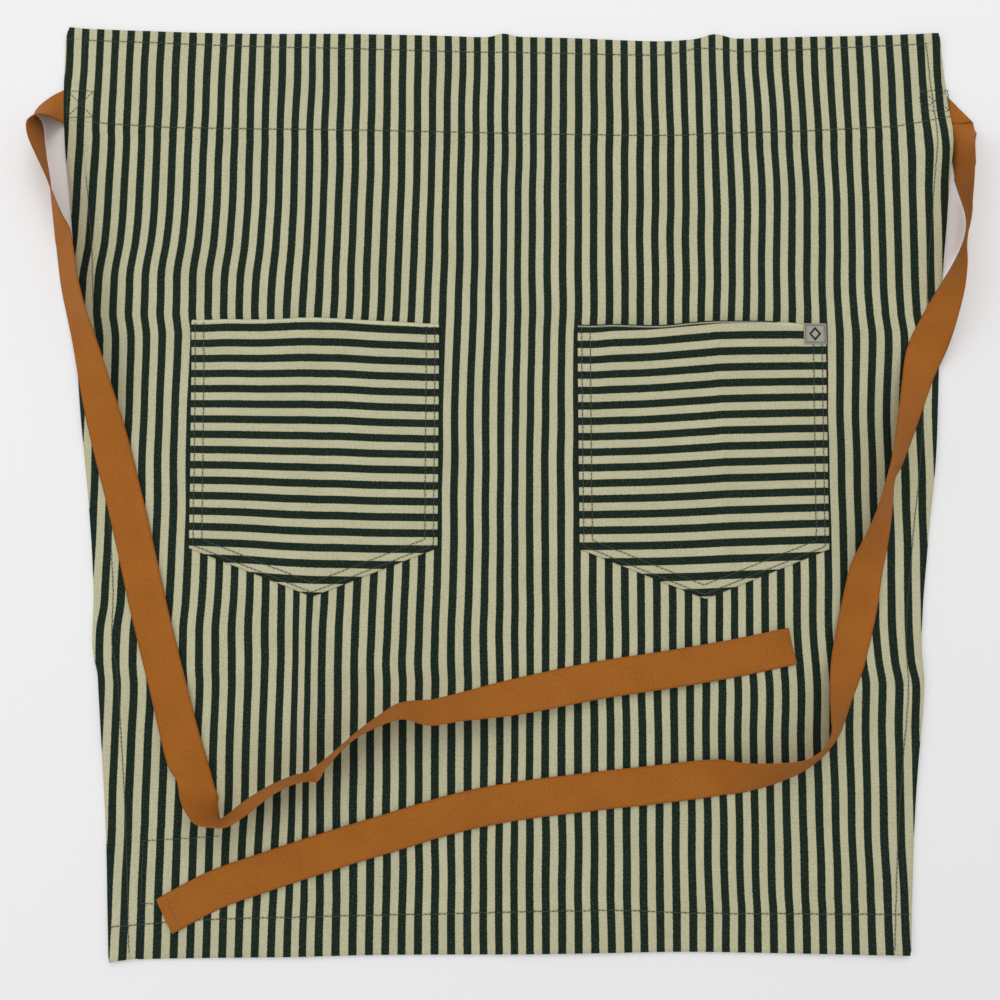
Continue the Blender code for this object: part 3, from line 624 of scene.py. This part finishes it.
def make_hem(node, edge, depth, count):
    """A turned-under layer: a half-round fold at the skirt's edge, and a flat layer behind the skirt."""
    along = np.linspace(0.004, 0.996, count)
    radius = 0.5 * HEM_LIFT
    arc = np.linspace(0, math.pi, 7)
    flat = np.linspace(1.5, depth, max(5, int(depth / 3)))
    reach = np.concatenate([-np.sin(arc) * radius * 0.9, flat])
    drop = np.concatenate([1 - np.cos(arc), np.full(len(flat), 2.0)]) * radius
    t, reach = np.meshgrid(along, reach)
    inside = np.maximum(reach, 0.0)
    if edge in ("left", "right"):
        level = SKIRT_LOW + (SKIRT_HIGH - SKIRT_LOW) * t
        side, sign = (LEFT_SIDE, 1) if edge == "left" else (RIGHT_SIDE, -1)
        edge_x = curve(side, level)
        y = curve(BOTTOM, edge_x) * (1 - t) + curve(WAIST, edge_x) * t
        x = edge_x + sign * reach
        fold_x, fold_y = edge_x + sign * inside, y
    else:
        low = edge == "bottom"
        base, sign, level = (BOTTOM, 1, SKIRT_LOW) if low else (WAIST, -1, SKIRT_HIGH)
        gap = SIDE_HEM + 1.5
        # The ends of the layer slant a little
        left_slant, right_slant = (-0.05, 0.06) if low else (0.02, 0.03)
        x_left = curve(LEFT_SIDE, level) + gap + left_slant * inside
        x_right = curve(RIGHT_SIDE, level) - gap + right_slant * inside
        x = x_left * (1 - t) + x_right * t
        y = curve(base, x) + sign * reach
        fold_x, fold_y = x, curve(base, x) + sign * inside
    z = np.maximum(skirt_under(fold_x, fold_y) + CLOTH / 2 - drop[:, None], ON_FLOOR)
    maps = {"weave": np.stack([stripe_number(fold_x, fold_y), y], -1), "seams": plain_map(x)}
    obj = sheet_mesh(f"{node}_cloth", np.stack([x, y, z], -1), maps, CLOTH, PLAIN_CANVAS)
    return on_apron(obj, node)


def make_patch():
    """The small patch behind the lower left corner."""
    wide, high = PATCH_SIZE
    a, b = np.meshgrid(np.linspace(-0.5, 0.5, 26), np.linspace(0.5, -0.5, 22))
    x, y = PATCH_MIDDLE[0] + a * wide, PATCH_MIDDLE[1] + b * high
    maps = {"weave": np.stack([x / REPEAT, y], -1), "seams": plain_map(x)}
    middle = np.stack([x, y, np.full_like(x, ON_FLOOR)], -1)
    obj = sheet_mesh("reverse_patch_cloth", middle, maps, CLOTH, PLAIN_CANVAS)
    return on_apron(obj, "reverse_patch")


# ---------------------------------------------------------------- pockets
def pocket_edges(p, b):
    """x of the pocket's left and right sides at b, 0 at the mouth and 1 at the lower corners."""
    (x0, _), (x1, _) = p["mouth"][0], p["mouth"][-1]
    (l0, _), (l1, _) = p["low"]
    return x0 + (l0 - x0) * b, x1 + (l1 - x1) * b


def pocket_bottom(p, a):
    """y of the lower edge across the pocket: straight down to the point and up again."""
    (_, y0), (_, y1) = p["low"]
    tip = p["tip"][1]
    return np.where(a < 0.5, y0 + (tip - y0) * 2 * a, tip + (y1 - tip) * (2 * a - 1))


def pocket_height(p, x, y, a, b, inset):
    """Height of the middle of the pocket's cloth: tight to the skirt along the sewing, loose at the mouth."""
    loose = np.clip((inset - POCKET_SEAMS[1]) / 22, 0, 1)
    loose = loose * loose * (3 - 2 * loose)
    mouth = np.clip(1 - b * 2.2, 0, 1)
    bulge = p["gape"] * loose * (0.25 + 0.75 * mouth * mouth) * (0.75 + 0.25 * np.sin(a * 11.0 + 1.0))
    fold = 1.2 * crease(x - p["fold"] + 0.05 * (y - 20), 2.4)
    wave = 0.35 * (1 + ripple(x, y, 70, 31)) * loose
    over_hem = 0.8 * ramp(b * POCKET_TALL, MOUTH_HEM + 1.0, 4)
    return skirt_top(x, y) + 0.25 + CLOTH / 2 + bulge + wave + fold * loose + over_hem


def pocket_weave(p, x, y):
    """Stripe number down the pocket, and millimetres along its stripes, which run across."""
    first_x, last_x = p["stripe"][0][0], p["stripe"][-1][0]
    top = curve([stop[:2] for stop in p["stripe"]], np.clip(x, first_x - 6, last_x + 6))
    repeat = curve([stop[::2] for stop in p["stripe"]], x)
    return np.stack([(top - y) / repeat, x], -1)


def pocket_inset(p, x, y, a, b):
    """Distance in from the sewn edges."""
    lx, rx = pocket_edges(p, np.clip(b, 0, 1))
    sides = np.minimum(x - lx, rx - x)
    fall = abs(p["tip"][1] - p["low"][0][1])
    slope = math.hypot(POCKET_HALF, fall) / POCKET_HALF
    return np.minimum(sides, (y - pocket_bottom(p, a)) / slope)


def make_pocket(side):
    p = POCKETS[side]
    a, b = np.meshgrid(np.linspace(0, 1, 83), np.linspace(0, 1, 86))
    lx, rx = pocket_edges(p, b)
    x = lx * (1 - a) + rx * a
    top = curve(p["mouth"], x)
    y = top * (1 - b) + pocket_bottom(p, a) * b
    inset = pocket_inset(p, x, y, a, b)
    z = pocket_height(p, x, y, a, b, inset)
    maps = {"weave": pocket_weave(p, x, y), "seams": np.stack([inset, top - y], -1)}
    obj = sheet_mesh(f"{side}_pocket_cloth", np.stack([x, y, z], -1), maps, CLOTH, POCKET_CANVAS)
    return on_apron(obj, f"{side}_pocket")


def make_mouth_hem(side):
    """The mouth's turned-in layer, with the rolled edge that shows from above."""
    p = POCKETS[side]
    radius = 0.55
    arc = np.linspace(0, math.pi, 8)
    flat = np.linspace(2.0, MOUTH_HEM, 9)
    reach = np.concatenate([-np.sin(arc) * radius * 1.5, flat])
    drop = np.concatenate([(1 - np.cos(arc)) * radius, np.full(len(flat), 2 * radius)])
    a, reach = np.meshgrid(np.linspace(0.001, 0.999, 83), reach)
    inside = np.maximum(reach, 0)
    x_left, x_right = p["mouth"][0][0], p["mouth"][-1][0]
    x = x_left + a * (x_right - x_left)
    top = curve(p["mouth"], x)
    y, fold_y = top - reach, top - inside
    inset = pocket_inset(p, x, fold_y, a, inside / 200.0)
    z = pocket_height(p, x, fold_y, a, inside / 200.0, inset) - drop[:, None]
    z = np.maximum(z, skirt_top(x, y) + 0.1 + CLOTH / 2)
    maps = {"weave": pocket_weave(p, x, fold_y), "seams": plain_map(x)}
    obj = sheet_mesh(f"{side}_mouth_hem", np.stack([x, y, z], -1), maps, CLOTH, PLAIN_CANVAS)
    return on_apron(obj, f"{side}_pocket_mouth_hem")


def pocket_surface(p):
    """A function of place that gives the height of the pocket's face."""
    def surface(x, y):
        x, y = np.asarray(x, float), np.asarray(y, float)
        lx, rx = pocket_edges(p, 0.5)
        a = np.clip((x - lx) / (rx - lx), 0, 1)
        top, low = curve(p["mouth"], x), pocket_bottom(p, a)
        b = (top - y) / (top - low)
        return pocket_height(p, x, y, a, b, pocket_inset(p, x, y, a, b)) + CLOTH / 2
    return surface


# ---------------------------------------------------------------- tapes
def plan_place(stop):
    """x, y of a stop on a route."""
    if len(stop) == 4:
        return np.array(stop[:2], float)
    return (np.array(stop[0][:2], float) + np.array(stop[1][:2], float)) / 2


def sections(route):
    """Pairs of edge points, one pair for each stop on a route."""
    pairs = []
    for i, stop in enumerate(route):
        if len(stop) == 2:
            pairs.append(np.array(stop, float))
            continue
        x, y, turn, rest = stop
        before, after = plan_place(route[max(i - 1, 0)]), plan_place(route[min(i + 1, len(route) - 1)])
        along = np.array([after[0] - before[0], after[1] - before[1], 0.0])
        along /= np.linalg.norm(along)
        angle = math.radians(turn)
        side = np.array([-along[1] * math.cos(angle), along[0] * math.cos(angle), math.sin(angle)])
        height = rest + 0.5 * TAPE_WIDTH * abs(math.sin(angle)) + 0.5 * TAPE * abs(math.cos(angle))
        middle = np.array([x, y, height])
        pairs.append((middle - side * TAPE_WIDTH / 2, middle + side * TAPE_WIDTH / 2))
    return np.array(pairs)


def catmull(points, steps):
    """Smooth rows through rows of numbers."""
    padded = np.concatenate([[2 * points[0] - points[1]], points, [2 * points[-1] - points[-2]]])
    rows = []
    for before, a, b, after in zip(padded, padded[1:], padded[2:], padded[3:]):
        for k in range(steps):
            t = k / steps
            rows.append(0.5 * (2 * a + (b - before) * t + (2 * before - 5 * a + 4 * b - after) * t * t
                               + (3 * a - before - 3 * b + after) * t ** 3))
    rows.append(points[-1])
    return np.array(rows)


def on_skirt(x, y):
    """1 over the skirt, 0 off it."""
    left, right, top, bottom = insets(x, y)
    inside = np.minimum(np.minimum(left, right), np.minimum(top, bottom))
    return 1 - ramp(inside, -3.0, 4.0)


def make_tape(name, root, route, side, seed):
    """One ribbon from under the waist to its end: the root by its edges, then the tie by its route."""
    root_pairs = np.array(root, float)
    pairs = np.concatenate([root_pairs, sections(route)])
    fine = catmull(pairs.reshape(len(pairs), 6), 6).reshape(-1, 2, 3)
    keep = len(root_pairs) * 6
    low, high = fine[:, 0], fine[:, 1]
    middle, reach = (low + high) / 2, high - low
    size = np.linalg.norm(reach, axis=1, keepdims=True)
    wanted = np.where(np.arange(len(fine))[:, None] < keep, size, SEEN_WIDTH)
    reach = reach / size * wanted
    t = np.linspace(-0.5, 0.5, 13)
    grid = middle[:, None, :] + reach[:, None, :] * t[None, :, None]
    run = np.concatenate([[0], np.cumsum(np.linalg.norm(np.diff(middle, axis=0), axis=1))])
    # Lies on whatever is under it
    x, y = grid[..., 0], grid[..., 1]
    share = on_skirt(x, y)
    share[:keep] = 0
    ground = np.where(share > 0, (skirt_top(x, y) + 0.15) * share, 0.1) + TAPE / 2
    flatness = 1 - np.abs(reach[:, 2:3]) / TAPE_WIDTH
    soft = 0.5 * (1 + ripple(run[:, None] + 0 * x, x * 0 + t * 20, 70, seed)) * flatness
    soft[:keep] = 0
    bend = 1.2 * (4 * t * t - 0.4) * np.sin(run[:, None] / 47.0 + seed) * flatness
    bend[:keep] = 0
    tuck = np.clip((run - run[keep]) / 30, 0, 1)[:, None]
    hump = 1.1 * ramp(run[-1] - run, 9.0, 5.0)[:, None]
    z = grid[..., 2] + tuck * (soft + bend) + hump
    z = np.where(np.arange(len(fine))[:, None] >= keep, np.maximum(z, ground), z)
    grid = np.stack([x, y, z], -1)
    weave = np.stack([np.broadcast_to(t * TAPE_WIDTH, x.shape), np.broadcast_to(run[:, None], x.shape)], -1)
    obj = sheet_mesh(name, grid, {"weave": weave}, TAPE, TWILL)
    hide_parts(f"{side}_tie_root", f"{side}_tie")
    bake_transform(obj)
    return obj, grid, run


# ---------------------------------------------------------------- build
skirt = make_skirt()
side_hems = [make_hem(f"{edge}_side_hem", edge, SIDE_HEM, 200) for edge in ("left", "right")]
bottom_hem = make_hem("bottom_hem", "bottom", BOTTOM_HEM, 170)
facing = make_hem("waist_facing", "top", FACING, 190)
patch = make_patch()
pockets, mouth_hems = {}, {}
for side in POCKETS:
    pockets[side] = make_pocket(side)
    mouth_hems[side] = make_mouth_hem(side)
left_tape, left_grid, left_run = make_tape("left_tape", LEFT_ROOT, LEFT_TIE, "left",
                                           3)
right_tape, right_grid, right_run = make_tape("right_tape", RIGHT_ROOT, RIGHT_TIE, "right",
                                              5)


def sew(name, node, path, surface, body="apron", material=THREAD, **options):
    obj = dashes(name, path, surface, material, **options)
    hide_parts(node)
    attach(obj, body)


def seam_path(seam, x0, x1):
    return [(x, float(curve(seam, x))) for x in np.linspace(x0, x1, 80)]


def side_path(side, inset, y0, y1):
    return [(float(curve(side, y)) + inset, y) for y in np.linspace(y0, y1, 80)]


def box_path(x0, x1, y0, y1, crossed=True):
    """One line of sewing round a box and across it."""
    path = [(x0, y1), (x1, y1), (x1, y0), (x0, y0), (x0, y1)]
    if crossed:
        path += [(x1, y0), (x1, y1), (x0, y0)]
    return path


sew("waist_top_sewing", "waist_top_stitch", seam_path(TOP_SEAM, -352, 357), skirt_top, seed=2)
sew("waist_lower_sewing", "waist_lower_stitch", seam_path(LOWER_SEAM, -345, 373), skirt_top, seed=3)
sew("bottom_sewing", "bottom_hem_stitch", seam_path(BOTTOM_SEAM, -304, 312), skirt_top, seed=4)
sew("left_hem_sewing", "left_hem_stitch", side_path(LEFT_SIDE, LEFT_SEAM_IN, -372, 250), skirt_top, seed=5)
sew("right_hem_sewing", "right_hem_stitch", side_path(RIGHT_SIDE, -RIGHT_SEAM_IN, -370, 364), skirt_top,
    seed=6)
sew("left_box_sewing", "left_tie_box_stitch", box_path(-367, -345, 300.5, 323.5), skirt_top, pitch=3.0,
    gap=0.5, seed=7)
sew("right_box_sewing", "right_tie_box_stitch", box_path(349, 372, 305, 324), skirt_top, pitch=2.7, gap=0.6,
    seed=8, wander=0.5)
PATCH_SEAM = ((-222, -284.5), (-281, -288), (-281, -335), (-222, -336))
sew("patch_sewing", "reverse_patch_stitch", PATCH_SEAM, skirt_top, seed=9)


def pocket_path(p, inset):
    """Down one side, to the point and up the other side, inset from the pocket's edges."""
    (x0, y0), (x1, y1) = p["mouth"][0], p["mouth"][-1]
    (l0, b0), (l1, b1) = p["low"]
    tx, ty = p["tip"]
    fall = 38.5
    rise = inset * math.hypot(POCKET_HALF, fall) / POCKET_HALF
    corner = rise - inset * fall / POCKET_HALF
    ends = [(x0 + inset, y0 - 1), (l0 + inset, b0 + corner), (tx, ty + rise), (l1 - inset, b1 + corner),
            (x1 - inset, y1 - 1)]
    path = []
    for (ax, ay), (bx, by) in zip(ends, ends[1:]):
        for k in range(24):
            path.append((ax + (bx - ax) * k / 24, ay + (by - ay) * k / 24))
    return path + [ends[-1]]


for number, (side, pocket) in enumerate(POCKETS.items()):
    for which, inset in enumerate(POCKET_SEAMS):
        line = f"{side}_pocket_{('outer', 'inner')[which]}"
        sew(f"{line}_sewing", f"{line}_stitch", pocket_path(pocket, inset), pocket_surface(pocket),
            seed=20 + 2 * number + which)


def make_label():
    p = POCKETS["right"]
    surface = pocket_surface(p)
    a, b = np.meshgrid(np.linspace(-0.5, 0.5, 22), np.linspace(0.5, -0.5, 22))
    cx, cy = LABEL_CORNER[0] + LABEL_SIZE / 2, LABEL_CORNER[1] + LABEL_HEIGHT / 2
    x, y = cx + a * LABEL_SIZE, cy + b * LABEL_HEIGHT
    mouth = curve(p["mouth"], x)
    z = surface(x, np.minimum(y, mouth)) + 0.45 + 0.12 * np.sin(a * 9)
    uv = np.stack([a * LABEL_SIZE, b * LABEL_SIZE], -1)
    obj = sheet_mesh("label", np.stack([x, y, z], -1), {"weave": uv}, 0.5, LABEL)
    on_apron(obj, "woven_label")
    half_x = LABEL_SIZE / 2 - 1.3
    half_y = half_x - 0.7
    sew("label_sewing", "label_stitch", box_path(cx - half_x, cx + half_x, cy - half_y, cy + half_y, False),
        lambda px, py: surface(px, py) + 0.72, pitch=2.4, gap=0.6, radius=0.2, seed=40)
    return obj


label = make_label()


def sew_tape_end(side, grid, run):
    """The line of sewing that holds the turned end of a tie."""
    row = grid[int(np.argmin(np.abs(run - (run[-1] - 6.5))))]
    row = row[np.argsort(row[:, 0])]

    def surface(x, y):
        return np.interp(x, row[:, 0], row[:, 2]) + TAPE / 2
    sew(f"{side}_tie_end_sewing", f"{side}_tie_end_stitch", row[1:-1, :2], surface, body=f"{side}_tie",
        material=TAPE_THREAD, pitch=2.6, gap=0.9, radius=0.26, seed=50)


sew_tape_end("left", left_grid, left_run)
sew_tape_end("right", right_grid, right_run)

# ---------------------------------------------------------------- stage, light and camera
floor_shader = Nodes("Pale floor", 0.8, specular=0.2)
floor_shader.shader.inputs["Base Color"].default_value = (0.92, 0.92, 0.92, 1)
floor_mesh = bpy.data.meshes.new("floor")
FLOOR_REACH, FLOOR_LEVEL = 4.0, -0.0003
CORNERS = ((-1, -1), (1, -1), (1, 1), (-1, 1))
floor_corners = [(x * FLOOR_REACH, y * FLOOR_REACH, FLOOR_LEVEL) for x, y in CORNERS]
floor_mesh.from_pydata(floor_corners, [], [(0, 1, 2, 3)])
floor_mesh.materials.append(floor_shader.material)
floor = bpy.data.objects.new("floor", floor_mesh)
bpy.context.scene.collection.objects.link(floor)

world = bpy.data.worlds.new("Soft studio")
world.use_nodes = True
world.node_tree.nodes["Background"].inputs["Color"].default_value = (1.0, 1.0, 1.0, 1)
world.node_tree.nodes["Background"].inputs["Strength"].default_value = 0.66
bpy.context.scene.world = world


def soft_light(name, place, aim, size, power):
    data = bpy.data.lights.new(name, "AREA")
    data.shape = "SQUARE"
    data.size = size
    data.energy = power
    lamp = bpy.data.objects.new(name, data)
    lamp.location = place
    lamp.rotation_euler = (Vector(aim) - Vector(place)).to_track_quat("-Z", "Y").to_euler()
    bpy.context.scene.collection.objects.link(lamp)


soft_light("key", (0.3, 1.6, 1.9), (0, 0, 0), 1.3, 15)
soft_light("fill", (-1.7, -0.2, 1.5), (-0.2, 0, 0), 1.4, 8)

lens = bpy.data.cameras.new("camera")
lens.lens = 36.0
lens.sensor_width = 36.0
camera = bpy.data.objects.new("camera", lens)
camera.location = (-0.004, -0.106, 0.803)
camera.rotation_euler = (math.radians(6.0), 0.0, 0.0)
bpy.context.scene.collection.objects.link(camera)
bpy.context.scene.camera = camera
bpy.context.scene.view_settings.view_transform = "Standard"
